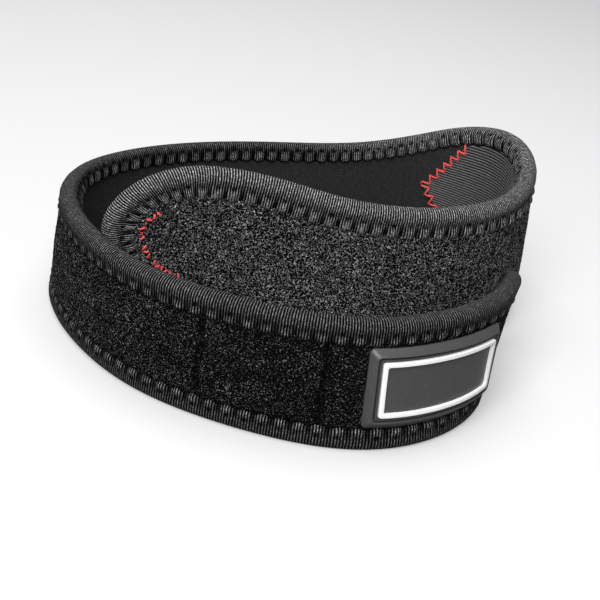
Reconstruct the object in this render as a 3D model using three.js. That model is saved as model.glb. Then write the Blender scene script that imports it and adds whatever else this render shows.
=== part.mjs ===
// Patella strap: a padded band wound about one and a half turns, bound all round its edge.
// Millimetres, +Z up, the lower turn resting on the floor, the label at the front.
import * as THREE from "three";

// Driving dimensions.
const STRAP_WIDTH = 38;
const STRAP_THICKNESS = 6.6;
const LOOP_WIDTH = 150;
const LOOP_DEPTH = 140;
const CLOTH = 1;
const FIT_GAP = 0.3;
const TURN_GAP = 0.8;
const INNER_REACH = 6;
const FRONT_REACH = 7;
const TONGUE_REACH = 9.5;
const UNDER_REACH = 5.5;
const TONGUE_LENGTH = 30;
const TONGUE_DROP = 9;
const TAIL_LENGTH = 19;
const HOOK_LENGTH = 212;
const HOOK_POINT = 22;
const HOOK_HEEL = 7;
const PILE_CROWN = 0.4;
const SEAM_DEPTH = 0.6;
const SEAM_WIDTH = 1.6;
const LABEL_LENGTH = 44;
const LABEL_RISE = 2.2;
const LABEL_TO_TAIL = 34;
const REST_FLAT = 0.5;
const STATION = 6;

// Control rows of the band's middle line, from the tongue's tip to the free end.
// across, deep: shares of half the loop's size. layer: strap thicknesses moved outward.
// lift: height of the lower edge in strap widths. lean: degrees, positive with the top edge outward.
const PATH = [
  { across: -0.90, deep: -0.50, layer: -1, lift: 0.47, lean: 2 },
  { across: -0.35, deep: -0.18, layer: 0, lift: 0.49, lean: 2 },
  { across: 0.09, deep: -0.26, layer: 0, lift: 0.31, lean: 1 },
  { across: 0.55, deep: -0.16, layer: 0, lift: 0.29, lean: 0 },
  { across: 0.92, deep: 0.17, layer: 0, lift: 0.32, lean: -3 },
  { across: 0.91, deep: 0.66, layer: 0, lift: 0.60, lean: -6 },
  { across: 0.65, deep: 1.04, layer: 0, lift: 0.25, lean: -8 },
  { across: 0.18, deep: 0.99, layer: 0, lift: 0, lean: -8 },
  { across: -0.27, deep: 0.85, layer: 0, lift: 0, lean: -6 },
  { across: -0.70, deep: 0.65, layer: 0, lift: 0, lean: -5 },
  { across: -1.07, deep: 0.27, layer: 0, lift: 0, lean: -5 },
  { across: -1.06, deep: -0.20, layer: 0, lift: 0, lean: -5 },
  { across: -0.71, deep: -0.71, layer: 0, lift: 0, lean: -2 },
  { across: -0.32, deep: -0.90, layer: 0, lift: 0, lean: -4 },
  { across: 0.13, deep: -0.98, layer: 0, lift: 0, lean: -9 },
  { across: 0.45, deep: -0.87, layer: 0, lift: 0, lean: -13 },
  { across: 0.75, deep: -0.57, layer: 0, lift: 0, lean: 0 },
  { across: 0.77, deep: -0.09, layer: 0, lift: 0, lean: 18 },
];

// Where the binding's reach and the tongue half's extra depth fade, as shares of the band's length.
const REACH_FADE = { from: 0.15, to: 0.5 };
const DROP_FADE = { from: 0.33, to: 0.47 };

// Cross seams of the pile, as shares of the label's length before its near end.
const SEAMS = [0.24, 1.01];

// Profile of the label, from its outline inward: inset in mm, level as a share of its rise.
const LABEL_STEPS = [
  { inset: 0, level: 0 },
  { inset: 0, level: 0.25 },
  { inset: 1.9, level: 1 },
  { inset: 2.2, level: 1 },
  { inset: 2.4, level: 0.7 },
];
const FRAME_INSET = 3.5;
const FRAME_WIDTH = 1.3;
const FRAME_HEIGHT = 0.6;
const LABEL_CORNER = 1.2;

// Levels through the thickness, measured along the band's outward normal.
const HALF = STRAP_THICKNESS / 2;
const STACK_TOP = HALF - CLOTH - FIT_GAP;
const PILE_BASE = STACK_TOP - CLOTH;
const FOAM_TOP = PILE_BASE - FIT_GAP;
const STACK_EDGE = HALF + FIT_GAP;
const LABEL_BASE = STACK_TOP + PILE_CROWN + FIT_GAP;

const radians = (degrees) => (degrees * Math.PI) / 180;
const mix = (a, b, share) => a + (b - a) * share;
const ease = (share) => {
  const t = Math.min(1, Math.max(0, share));
  return t * t * (3 - 2 * t);
};

// Control points: x, y, lift and lean in radians, with one straight extension at each end.
function controlPoints() {
  const rows = PATH.map((row) => {
    const x = (row.across * LOOP_WIDTH) / 2;
    const y = (row.deep * LOOP_DEPTH) / 2;
    const away = (row.layer * (STRAP_THICKNESS + TURN_GAP)) / Math.hypot(x, y);
    return [x * (1 + away), y * (1 + away), row.lift, radians(row.lean)];
  });
  const beyond = (end, next) => end.map((value, axis) => 2 * value - next[axis]);
  return [
    beyond(rows[0], rows[1]),
    ...rows,
    beyond(rows[rows.length - 1], rows[rows.length - 2]),
  ];
}

const CONTROLS = controlPoints();
const SPANS = PATH.length - 1;

// Cubic B-spline through the control rows: the value and its slope at parameter t.
function pathAt(t) {
  const span = Math.min(SPANS - 1, Math.max(0, Math.floor(t)));
  const f = t - span;
  const g = 1 - f;
  const weights = [g ** 3, 3 * f ** 3 - 6 * f ** 2 + 4, 3 * g ** 3 - 6 * g ** 2 + 4, f ** 3];
  const slopes = [-3 * g ** 2, 9 * f ** 2 - 12 * f, -9 * g ** 2 + 12 * g, 3 * f ** 2];
  const sum = (factors, axis) =>
    factors.reduce((total, factor, k) => total + factor * CONTROLS[span + k][axis], 0) / 6;
  const [x, y, lift, lean] = [0, 1, 2, 3].map((axis) => sum(weights, axis));
  const [dx, dy, dLift, dLean] = [0, 1, 2, 3].map((axis) => sum(slopes, axis));
  const z = lift * STRAP_WIDTH + (STRAP_WIDTH / 2) * Math.cos(lean) - REST_FLAT;
  const dz = dLift * STRAP_WIDTH - (STRAP_WIDTH / 2) * Math.sin(lean) * dLean;
  return { centre: new THREE.Vector3(x, y, z), slope: new THREE.Vector3(dx, dy, dz), lean };
}

// Length along the middle line against the parameter.
const ARC = [{ t: 0, s: 0 }];
{
  const perSpan = 24;
  let last = pathAt(0).centre;
  for (let k = 1; k <= SPANS * perSpan; k += 1) {
    const { centre } = pathAt(k / perSpan);
    ARC.push({ t: k / perSpan, s: ARC[k - 1].s + centre.distanceTo(last) });
    last = centre;
  }
}
const STRAP_LENGTH = ARC[ARC.length - 1].s;

function parameterAt(s) {
  let low = 0;
  let high = ARC.length - 1;
  while (high - low > 1) {
    const middle = (low + high) >> 1;
    if (ARC[middle].s <= s) low = middle;
    else high = middle;
  }
  return mix(ARC[low].t, ARC[high].t, (s - ARC[low].s) / (ARC[high].s - ARC[low].s));
}

// A point of the band: s along it, u up its face, n outward from its middle.
function bandPoint(s, u, n) {
  const { centre, slope, lean } = pathAt(parameterAt(s));
  const along = slope.normalize();
  const outward = along.clone().cross(new THREE.Vector3(0, 0, 1)).normalize();
  const upward = outward.clone().cross(along);
  const up = upward.clone().multiplyScalar(Math.cos(lean)).addScaledVector(outward, Math.sin(lean));
  const out = outward.clone().multiplyScalar(Math.cos(lean)).addScaledVector(upward, -Math.sin(lean));
  const point = centre.clone().addScaledVector(up, u).addScaledVector(out, n);
  point.z = Math.max(0, point.z);
  return point;
}

// Stations: round both ends by angle, then even steps with the seams let in.
const END_ANGLES = [0, 14, 28, 42, 57, 73];
const LABEL_START = STRAP_LENGTH - LABEL_TO_TAIL - LABEL_LENGTH;
const SEAM_PLACES = SEAMS.map((share) => LABEL_START - share * LABEL_LENGTH);

function middleStations(from, to, extra) {
  const count = Math.max(2, Math.round((to - from) / STATION));
  const even = Array.from({ length: count + 1 }, (_, k) => mix(from, to, k / count));
  const clear = even.filter((s) => extra.every((place) => Math.abs(place - s) > 0.8));
  return [...clear, ...extra].sort((a, b) => a - b);
}

const squareStation = (s) => ({ end: "none", angle: Math.PI / 2, s });

function stations(extra = []) {
  const list = END_ANGLES.map((angle) => ({ end: "tongue", angle: radians(angle) }));
  for (const s of middleStations(TONGUE_LENGTH, STRAP_LENGTH - TAIL_LENGTH, extra)) {
    list.push(squareStation(s));
  }
  for (const angle of [...END_ANGLES].reverse()) {
    list.push({ end: "tail", angle: radians(angle) });
  }
  return list;
}

// Share of the way through a fade at s.
const fade = (s, { from, to }) => ease((s / STRAP_LENGTH - from) / (to - from));

// Where a line inset from the band's edge crosses a station: its s and its half width there.
// side: 1 is above the middle line, -1 below it, where the tongue's half is deeper.
function insetAt(station, inset, side) {
  let { s } = station;
  if (station.end === "tongue") {
    s = TONGUE_LENGTH - (TONGUE_LENGTH - inset) * Math.cos(station.angle);
  }
  if (station.end === "tail") {
    s = STRAP_LENGTH - TAIL_LENGTH + (TAIL_LENGTH - inset) * Math.cos(station.angle);
  }
  const drop = side < 0 ? TONGUE_DROP * (1 - fade(s, DROP_FADE)) : 0;
  return { s, half: (STRAP_WIDTH / 2 - inset + drop) * Math.sin(station.angle) };
}

// Closed body from rings of equal length; coinciding points are merged, outward faces assured.
// ends: "joined" runs the last ring into the first, "pinched" has ends that close by themselves,
// "filled" spans each end ring with a strip of faces.
function bodyFromRings(rings, ends) {
  const positions = [];
  const known = new Map();
  const indexOf = (point) => {
    const key = [point.x, point.y, point.z].map((value) => Math.round(value * 2000)).join(",");
    if (!known.has(key)) {
      known.set(key, positions.length / 3);
      positions.push(point.x, point.y, point.z);
    }
    return known.get(key);
  };
  const grid = rings.map((ring) => ring.map(indexOf));
  const faces = [];
  const add = (a, b, c) => {
    if (a !== b && b !== c && c !== a) faces.push([a, b, c]);
  };
  const height = (index) => positions[3 * index + 2];
  const quad = (a, b, c, d) => {
    const fromUpper = height(a) > height(b);
    add(a, b, fromUpper ? c : d);
    add(fromUpper ? a : b, c, d);
  };
  const last = ends === "joined" ? grid.length : grid.length - 1;
  for (let i = 0; i < last; i += 1) {
    const here = grid[i];
    const next = grid[(i + 1) % grid.length];
    for (let k = 0; k < here.length; k += 1) {
      const m = (k + 1) % here.length;
      quad(here[k], here[m], next[m], next[k]);
    }
  }
  if (ends === "filled") {
    const [first, final] = [grid[0], grid[grid.length - 1]];
    const far = first.length - 1;
    for (let k = 0; k < first.length / 2 - 1; k += 1) {
      quad(first[k + 1], first[k], first[far - k], first[far - k - 1]);
      quad(final[k], final[k + 1], final[far - k - 1], final[far - k]);
    }
  }
  const corner = (index) => new THREE.Vector3().fromArray(positions, 3 * index);
  const volume = faces.reduce(
    (total, [a, b, c]) => total + corner(a).dot(corner(b).cross(corner(c))),
    0,
  );
  const order = volume < 0 ? faces.map(([a, b, c]) => [a, c, b]) : faces;
  const geometry = new THREE.BufferGeometry();
  geometry.setAttribute("position", new THREE.Float32BufferAttribute(positions, 3));
  geometry.setIndex(order.flat());
  geometry.computeVertexNormals();
  return geometry;
}

function piece(name, geometry, color, roughness) {
  const mesh = new THREE.Mesh(geometry, new THREE.MeshStandardMaterial({ color, roughness }));
  mesh.name = name;
  return mesh;
}

// Rounded edge of the padding stack: insets and levels for a range of angles from the outer face.
const STACK_RADIUS = STACK_TOP;
const edgeProfile = (angles) =>
  angles.map((angle) => ({
    inset: STACK_EDGE - STACK_RADIUS * Math.sin(radians(angle)),
    level: STACK_RADIUS * Math.cos(radians(angle)),
  }));
const angleAtLevel = (level) => (Math.acos(level / STACK_RADIUS) * 180) / Math.PI;

// Places of a face's inner lines, as shares of its half width.
const FACE_SHARES = [0.5, 0, -0.5];

// Ring across the band: one edge, the outer face, the other edge, the base.
function layerRing(station, profile, faceLevel) {
  const at = ({ inset, level }, share) => {
    const { s, half } = insetAt(station, inset, Math.sign(share));
    return bandPoint(s, share * half, level);
  };
  const { inset } = profile[profile.length - 1];
  const face = FACE_SHARES.map((share) => {
    const { s, half } = insetAt(station, inset, Math.sign(share));
    return bandPoint(s, share * half, faceLevel(s, share, Math.sin(station.angle)));
  });
  return [
    ...profile.map((row) => at(row, 1)),
    ...face,
    ...[...profile].reverse().map((row) => at(row, -1)),
    ...[...FACE_SHARES].reverse().map((share) => at(profile[0], share)),
  ];
}

function foamBand() {
  const profile = edgeProfile([180, 135, 90, angleAtLevel(FOAM_TOP)]);
  const rings = stations().map((station) => layerRing(station, profile, () => FOAM_TOP));
  return piece("foam_band", bodyFromRings(rings, "pinched"), 0x2c2c2e, 0.85);
}

function pileFacing() {
  const profile = edgeProfile([angleAtLevel(PILE_BASE), angleAtLevel(PILE_BASE) / 2, 0]);
  const grooves = SEAM_PLACES.flatMap((s) => [-1, -0.25, 0.25, 1].map((k) => s + (k * SEAM_WIDTH) / 2));
  const level = (s, share, swell) => {
    const away = Math.min(...SEAM_PLACES.map((place) => Math.abs(place - s)));
    const crown = PILE_CROWN * Math.max(0, 1 - Math.abs(share) / FACE_SHARES[0]) * swell;
    return STACK_TOP + crown - SEAM_DEPTH * (1 - ease(away / (SEAM_WIDTH / 2)));
  };
  const rings = stations(grooves).map((station) => layerRing(station, profile, level));
  return piece("pile_facing", bodyFromRings(rings, "pinched"), 0x151516, 0.95);
}

// Reach of the binding over the outer face: wide round the tongue's tip and above, narrow below.
function outerReach(s, side) {
  const under = mix(TONGUE_REACH, UNDER_REACH, ease(s / TONGUE_LENGTH));
  return mix(side < 0 ? under : TONGUE_REACH, FRONT_REACH, fade(s, REACH_FADE));
}

function bindingRing(station, side) {
  const reach = outerReach(insetAt(station, 0, side).s, side);
  const arc = (radius, angles) =>
    angles.map((angle) => ({
      inset: HALF - radius * Math.sin(radians(angle)),
      level: radius * Math.cos(radians(angle)),
    }));
  const inside = HALF - CLOTH;
  const profile = [
    { inset: reach, level: inside },
    { inset: reach, level: HALF },
    ...arc(HALF, [0, 35, 70, 110, 145, 180]),
    { inset: INNER_REACH, level: -HALF },
    { inset: INNER_REACH, level: -inside },
    ...arc(inside, [180, 120, 60, 0]),
  ];
  return profile.map(({ inset, level }) => {
    const { s, half } = insetAt(station, inset, side);
    return bandPoint(s, side * half, level);
  });
}

function edgeBinding() {
  const list = stations();
  const there = list.map((station) => bindingRing(station, 1));
  const back = [...list].reverse().slice(1, -1).map((station) => bindingRing(station, -1));
  return piece("edge_binding", bodyFromRings([...there, ...back], "joined"), 0x3a3a3c, 0.6);
}

// Hook patch on the inner face, rounded like the tongue. Its far end comes to a point on the
// middle line: a long slant above, a short one below.
function hookPatch() {
  const inset = INNER_REACH + FIT_GAP;
  const row = (station) => {
    const { s, half } = insetAt(station, inset, 1);
    const { half: under } = insetAt(station, inset, -1);
    const left = HOOK_LENGTH - s;
    return { s, half: half * Math.min(1, left / HOOK_POINT), under: under * Math.min(1, left / HOOK_HEEL) };
  };
  const pointFrom = HOOK_LENGTH - HOOK_POINT;
  const pointPlaces = [HOOK_HEEL, HOOK_HEEL / 2, 0].map((left) => HOOK_LENGTH - left);
  const rows = [
    ...END_ANGLES.map((angle) => row({ end: "tongue", angle: radians(angle) })),
    ...middleStations(TONGUE_LENGTH, pointFrom, []).map((s) => row(squareStation(s))),
    row(squareStation((pointFrom + pointPlaces[0]) / 2)),
    ...pointPlaces.map((s) => row(squareStation(s))),
  ];
  const base = CLOTH - HALF;
  const rings = rows.map(({ s, half, under }) => {
    const at = (share, level) => bandPoint(s, share * (share < 0 ? under : half), level);
    return [
      ...[1, ...FACE_SHARES, -1].map((share) => at(share, base)),
      ...[-1, 0, 1].map((share) => at(share, -HALF)),
    ];
  });
  return piece("hook_patch", bodyFromRings(rings, "pinched"), 0x55565a, 0.8);
}

// Outline of a rounded rectangle as pairs of points above and below its middle line.
function outlinePairs(halfLength, halfHeight, radius) {
  const pairs = [];
  const turn = [0, 30, 60, 90].map(radians);
  const spans = 8;
  for (const angle of turn) {
    const x = -halfLength + radius * (1 - Math.cos(angle));
    pairs.push({ x, y: halfHeight - radius * (1 - Math.sin(angle)) });
  }
  for (let k = 1; k < spans; k += 1) {
    pairs.push({ x: mix(-halfLength + radius, halfLength - radius, k / spans), y: halfHeight });
  }
  for (const angle of [...turn].reverse()) {
    const x = halfLength - radius * (1 - Math.cos(angle));
    pairs.push({ x, y: halfHeight - radius * (1 - Math.sin(angle)) });
  }
  return pairs;
}

const LABEL_MIDDLE = LABEL_START + LABEL_LENGTH / 2;
const LABEL_HALF_HEIGHT = STRAP_WIDTH / 2 - FRONT_REACH - 2 * FIT_GAP;

function labelLoop(inset, level) {
  const radius = Math.max(0.3, LABEL_CORNER - inset / 3);
  const pairs = outlinePairs(LABEL_LENGTH / 2 - inset, LABEL_HALF_HEIGHT - inset, radius);
  const upper = pairs.map(({ x, y }) => bandPoint(LABEL_MIDDLE + x, y, level));
  const lower = pairs.map(({ x, y }) => bandPoint(LABEL_MIDDLE + x, -y, level));
  return [...upper, ...lower.reverse()];
}

function labelPlate() {
  const loops = LABEL_STEPS.map(({ inset, level }) => labelLoop(inset, LABEL_BASE + level * LABEL_RISE));
  return piece("label_plate", bodyFromRings(loops, "filled"), 0x2b2c2e, 0.45);
}

function labelFrame() {
  const floor = LABEL_BASE + LABEL_STEPS[LABEL_STEPS.length - 1].level * LABEL_RISE + FIT_GAP;
  const loops = [
    labelLoop(FRAME_INSET, floor),
    labelLoop(FRAME_INSET, floor + FRAME_HEIGHT),
    labelLoop(FRAME_INSET + FRAME_WIDTH, floor + FRAME_HEIGHT),
    labelLoop(FRAME_INSET + FRAME_WIDTH, floor),
  ];
  return piece("label_frame", bodyFromRings(loops, "joined"), 0xe9e9e6, 0.5);
}

const strap = new THREE.Group();
strap.name = "patella_strap";
strap.add(foamBand(), pileFacing(), edgeBinding(), hookPatch(), labelPlate(), labelFrame());

// The origin goes to the middle of the bottom of the bounding box.
const box = new THREE.Box3().setFromObject(strap);
const middle = box.getCenter(new THREE.Vector3());
for (const mesh of strap.children) {
  mesh.geometry.translate(-middle.x, -middle.y, -box.min.z);
}

export default strap;
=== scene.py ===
"""Patella strap: a padded band wound about one and a half turns, dressed as bound loop pile.

The band's middle line is the part's own, repeated here in millimetres, so that every cloth layer
lies where its solid is. All meshes are written in code and handed over in metres.
"""

import logging
import math
from dataclasses import dataclass, field
from enum import Enum
from functools import reduce
from types import MappingProxyType
from typing import Callable, Mapping, NamedTuple, Sequence

import bmesh
import bpy
import numpy as np
from mathutils import Matrix, Vector


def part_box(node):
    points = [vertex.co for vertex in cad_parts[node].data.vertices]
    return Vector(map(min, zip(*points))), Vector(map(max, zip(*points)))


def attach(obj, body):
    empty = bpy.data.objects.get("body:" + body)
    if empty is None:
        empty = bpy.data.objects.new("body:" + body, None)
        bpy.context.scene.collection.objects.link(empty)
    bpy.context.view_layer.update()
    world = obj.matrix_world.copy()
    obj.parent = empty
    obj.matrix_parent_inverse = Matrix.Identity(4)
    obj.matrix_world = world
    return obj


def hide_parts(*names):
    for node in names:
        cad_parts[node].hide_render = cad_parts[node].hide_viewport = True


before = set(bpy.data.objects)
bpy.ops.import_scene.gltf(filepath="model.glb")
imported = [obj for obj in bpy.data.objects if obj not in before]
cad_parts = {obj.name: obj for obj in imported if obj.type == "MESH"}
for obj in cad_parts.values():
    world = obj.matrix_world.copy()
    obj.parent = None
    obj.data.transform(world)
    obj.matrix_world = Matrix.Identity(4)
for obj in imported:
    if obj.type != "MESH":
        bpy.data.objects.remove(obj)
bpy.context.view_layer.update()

LOG = logging.getLogger("patella_strap")
MM = 0.001
TINY = 1e-6
BODY = "root"
Colour = tuple[float, float, float, float]
Span = tuple[float, float]
Array = np.ndarray
Piece = bpy.types.Object
Material = bpy.types.Material
Tree = bpy.types.NodeTree
Node = bpy.types.Node
Socket = bpy.types.NodeSocket
Inputs = Mapping[str | int, object]


# The band's path


def smooth_step(low: float, high: float, value: Array) -> Array:
    """Eased share of value between low and high."""
    share = np.clip((np.asarray(value, float) - low) / (high - low), 0, 1)
    return share * share * (3 - 2 * share)


def bell(value: Array, width: float) -> Array:
    """Rounded hump of height 1 at 0."""
    return np.exp(-((value / width) ** 2))


class PathRow(NamedTuple):
    """One control row of the band's middle line, in the shares and degrees of the part's source."""

    across: float
    deep: float
    layer: float
    lift: float
    lean: float


PATH_ROWS = tuple(PathRow(*row) for row in (
    (-0.90, -0.50, -1, 0.47, 2), (-0.35, -0.18, 0, 0.49, 2), (0.09, -0.26, 0, 0.31, 1),
    (0.55, -0.16, 0, 0.29, 0), (0.92, 0.17, 0, 0.32, -3), (0.91, 0.66, 0, 0.60, -6),
    (0.65, 1.04, 0, 0.25, -8), (0.18, 0.99, 0, 0, -8), (-0.27, 0.85, 0, 0, -6),
    (-0.70, 0.65, 0, 0, -5), (-1.07, 0.27, 0, 0, -5), (-1.06, -0.20, 0, 0, -5),
    (-0.71, -0.71, 0, 0, -2), (-0.32, -0.90, 0, 0, -4), (0.13, -0.98, 0, 0, -9),
    (0.45, -0.87, 0, 0, -13), (0.75, -0.57, 0, 0, 0), (0.77, -0.09, 0, 0, 18),
))


class Part(Enum):
    """Which part of the band's outline a station is on."""

    TONGUE = 0
    RUN = 1
    TAIL = 2


@dataclass
class Stations:
    """Places on the band's outline: which part, the angle at a rounded end, s, and the side."""

    part: Array
    angle: Array
    along: Array
    side: Array


@dataclass
class BandPath:
    """The band's middle line and the mapping from band places to points, in millimetres."""

    width: float = 38.0
    thickness: float = 6.6
    loop_width: float = 150.0
    loop_depth: float = 140.0
    turn_gap: float = 0.8
    pressed: float = 0.5
    tongue: float = 30.0
    tail: float = 19.0
    drop: float = 9.0
    drop_from: float = 0.33
    drop_to: float = 0.47
    per_span: int = 24
    tongue_density: float = 1.3
    tail_density: float = 1.6
    origin: Array = field(default_factory=lambda: np.zeros(3))

    def __post_init__(self) -> None:
        """Lays out the control points and measures the middle line."""
        rows = []
        for row in PATH_ROWS:
            x, y = row.across * self.loop_width / 2, row.deep * self.loop_depth / 2
            away = row.layer * (self.thickness + self.turn_gap) / math.hypot(x, y)
            rows.append([x * (1 + away), y * (1 + away), row.lift, math.radians(row.lean)])
        points = np.array(rows)
        self.controls = np.vstack([2 * points[0] - points[1], points, 2 * points[-1] - points[-2]])
        spans = len(points) - 1
        self.knots = np.linspace(0, spans, spans * self.per_span + 1)
        steps = np.linalg.norm(np.diff(self._centre(self._blend(self.knots, False)), axis=0), axis=1)
        self.arc = np.concatenate([[0], np.cumsum(steps)])
        self.length = float(self.arc[-1])

    @property
    def half(self) -> float:
        """Half the band's thickness."""
        return self.thickness / 2

    def _blend(self, t: Array, slope: bool) -> Array:
        """Values of the cubic B-spline, or its slopes.

        Args:
            t: parameters.
            slope: whether the slopes are wanted.

        Returns:
            One row of x, y, lift and lean per parameter.
        """
        span = np.clip(np.floor(t).astype(int), 0, len(self.controls) - 4)
        f = (t - span)[..., None]
        g = 1 - f
        if slope:
            weights = (-3 * g**2, 9 * f**2 - 12 * f, -9 * g**2 + 12 * g, 3 * f**2)
        else:
            weights = (g**3, 3 * f**3 - 6 * f**2 + 4, 3 * g**3 - 6 * g**2 + 4, f**3)
        return sum(w * self.controls[span + k] for k, w in enumerate(weights)) / 6

    def _centre(self, values: Array) -> Array:
        """Points of the middle line from the spline's values."""
        z = values[..., 2] * self.width + self.width / 2 * np.cos(values[..., 3]) - self.pressed
        return np.stack([values[..., 0], values[..., 1], z], -1)

    def point(self, s: Array, u: Array, n: Array) -> Array:
        """Points of the band in the part's frame, in millimetres.

        Args:
            s: places along the middle line.
            u: heights over the middle line, up the face.
            n: levels outward from the middle.

        Returns:
            An array of points, one more axis than s.
        """
        t = np.interp(s, self.arc, self.knots)
        value, slope = self._blend(t, False), self._blend(t, True)
        lean = value[..., 3]
        rise = slope[..., 2] * self.width - self.width / 2 * np.sin(lean) * slope[..., 3]
        along = np.stack([slope[..., 0], slope[..., 1], rise], -1)
        along /= np.linalg.norm(along, axis=-1, keepdims=True)
        outward = np.cross(along, [0.0, 0.0, 1.0])
        outward /= np.linalg.norm(outward, axis=-1, keepdims=True)
        upward = np.cross(outward, along)
        cos, sin = np.cos(lean)[..., None], np.sin(lean)[..., None]
        up, out = cos * upward + sin * outward, cos * outward - sin * upward
        points = self._centre(value) + np.asarray(u)[..., None] * up + np.asarray(n)[..., None] * out
        points[..., 2] = np.maximum(points[..., 2], 0)
        return points + self.origin

    def inset(self, places: Stations, inset: Array, side: Array) -> tuple[Array, Array]:
        """Where lines inset from the band's edge cross the stations.

        Args:
            places: N stations.
            inset: distances from the edge, N rows or one row for all.
            side: above 0 for the half over the middle line, below 0 for the half under it, in rows
                or one row for all.

        Returns:
            The places along the band and the half widths there, N rows each.
        """
        inset = np.broadcast_to(inset, (len(places.along), np.shape(inset)[-1]))
        cos, sin = np.cos(places.angle)[:, None], np.sin(places.angle)[:, None]
        part, along = places.part[:, None], places.along[:, None]
        tongue = self.tongue - (self.tongue - inset) * cos
        tail = self.length - self.tail + (self.tail - inset) * cos
        s = np.where(part == Part.TAIL.value, tail, along)
        s = np.where(part == Part.TONGUE.value, tongue, s)
        return s, (self.half_width(s, side) - inset) * sin

    def spread(self, places: Stations, inset: float, count: int) -> tuple[Array, Array, Array]:
        """An even grid over a face, up to a line inset from the band's edge.

        Args:
            places: N stations.
            inset: the line's distance from the edge.
            count: points from the upper side to the lower.

        Returns:
            Places along the band and heights over the middle line, and each point's share of the
            way up from there.
        """
        share = np.linspace(1, -1, count)[None, :]
        s, half = self.inset(places, np.full(count, inset), share)
        return s, share * half, share

    def half_width(self, s: Array, side: Array) -> Array:
        """From the middle line to the edge: deeper below it in the tongue's half."""
        drop = self.drop * (1 - smooth_step(self.drop_from, self.drop_to, s / self.length))
        return self.width / 2 + np.where(side < 0, drop, 0)

    def depth(self, s: Array, u: Array) -> Array:
        """How far points of the face are from the band's edge, near enough at the rounded ends.

        Args:
            s: places along the middle line.
            u: heights over it.

        Returns:
            Distances in millimetres.
        """
        half = self.half_width(s, u)
        before, after = (self.tongue - s) / self.tongue, (s - self.length + self.tail) / self.tail
        x, y = np.maximum(np.maximum(before, after), 0), np.maximum(np.abs(u) / half, TINY)
        radius = np.where(before > after, self.tongue, self.tail)
        rho = np.hypot(x, y)
        return (1 - rho) * (x * x * radius + y * y * half) / rho**2

    def strip(self, step: float) -> Stations:
        """Stations from the tongue's tip to the tail's tip, one row for the whole width.

        Args:
            step: distance between stations.

        Returns:
            The stations, all on the upper side.
        """
        turns = round(self.tongue_density * self.tongue / step)
        tongue = np.linspace(0, math.pi / 2, turns, endpoint=False)
        tail = np.linspace(math.pi / 2, 0, round(self.tail_density * self.tail / step) + 1)[1:]
        reach = self.length - self.tail - self.tongue
        run = np.linspace(self.tongue, self.length - self.tail, round(reach / step) + 1)
        sizes = (len(tongue), len(run), len(tail))
        part = np.repeat([Part.TONGUE.value, Part.RUN.value, Part.TAIL.value], sizes)
        angle = np.concatenate([tongue, np.full(len(run), math.pi / 2), tail])
        along = np.concatenate([np.zeros(len(tongue)), run, np.zeros(len(tail))])
        return Stations(part, angle, along, np.ones(len(part)))

    def outline(self, step: float) -> tuple[Stations, Array]:
        """Stations right round the band's edge and the distance travelled, closed.

        Args:
            step: distance between stations.

        Returns:
            The stations, and one more distance than stations, the last one the whole way round.
        """
        one = self.strip(step)
        rows = (one.part, one.angle, one.along, one.side)
        places = Stations(*(np.concatenate([row, row[-2:0:-1]]) for row in rows))
        places.side[len(one.side):] *= -1
        s, half = self.inset(places, np.array([0.0]), places.side[:, None])
        flat = np.column_stack([s[:, 0], places.side * half[:, 0]])
        steps = np.linalg.norm(np.roll(flat, -1, axis=0) - flat, axis=1)
        return places, np.concatenate([[0], np.cumsum(steps)])


# Meshes


def new_object(name: str, data: bpy.types.ID) -> Piece:
    """Adds an object to the scene.

    Args:
        name: its name.
        data: its mesh, light or camera.

    Returns:
        The object.
    """
    made = bpy.data.objects.new(name, data)
    bpy.context.scene.collection.objects.link(made)
    return made


def grid_mesh(
    name: str,
    points: Array,
    along: Array,
    across: Array,
    joined: bool,
    tone: Array | None = None,
) -> Piece:
    """Closed mesh from rings of points, each ring a loop of its own.

    Args:
        name: the piece's name.
        points: rings by points by 3, in millimetres.
        along: UV distance of each ring, one more than the rings where they are joined, or a table
            with a column for each point and one more.
        across: UV distance of each point of a ring and one more, or such a table.
        joined: whether the last ring runs into the first.
        tone: painted light and shade at each point, from -1 for painted shade in a fold or hollow to
            1 for a painted highlight on a raised place.

    Returns:
        The piece, smooth shaded, with its UVs in millimetres.
    """
    rings, size = points.shape[:2]
    rows = np.arange(rings if joined else rings - 1)
    i, k = np.meshgrid(rows, np.arange(size), indexing="ij")
    corners = ((0, 0), (1, 0), (1, 1), (0, 1))
    faces = np.stack([(i + a) % rings * size + (k + b) % size for a, b in corners], -1)
    faces = faces.reshape(-1, 4)
    table = (rings + 1 if joined else rings, size + 1)
    u = np.broadcast_to(along if along.ndim == 2 else along[:table[0], None], table)
    v = np.broadcast_to(across, table)
    uv = np.array([[w[i + a, k + b] for a, b in corners] for w in (u, v)])
    uv = uv.transpose(2, 3, 1, 0).reshape(-1, 4, 2)
    flat = points.reshape(-1, 3)
    a, b, c = (flat[faces[:, n]] for n in (0, 1, 2))
    if np.einsum("ij,ij->", a, np.cross(b, c)) < 0:
        faces, uv = faces[:, ::-1], uv[:, ::-1]
    mesh = bpy.data.meshes.new(name)
    mesh.from_pydata((flat * MM).tolist(), [], faces.tolist())
    layer = mesh.uv_layers.new(name="cloth")
    layer.data.foreach_set("uv", np.ascontiguousarray(uv, np.float32).ravel())
    if tone is not None:
        shade = mesh.attributes.new("tone", "FLOAT", "POINT")
        shade.data.foreach_set("value", np.ascontiguousarray(tone, np.float32).ravel())
    if not joined:
        work = bmesh.new()
        work.from_mesh(mesh)
        bmesh.ops.remove_doubles(work, verts=work.verts, dist=2 * TINY)
        bmesh.ops.dissolve_degenerate(work, edges=work.edges, dist=TINY)
        work.to_mesh(mesh)
        work.free()
    mesh.shade_smooth()
    return new_object(name, mesh)


THREAD_SIDES = 6
THREAD_ACROSS = (0.31, 0.2, 0.93)


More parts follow.
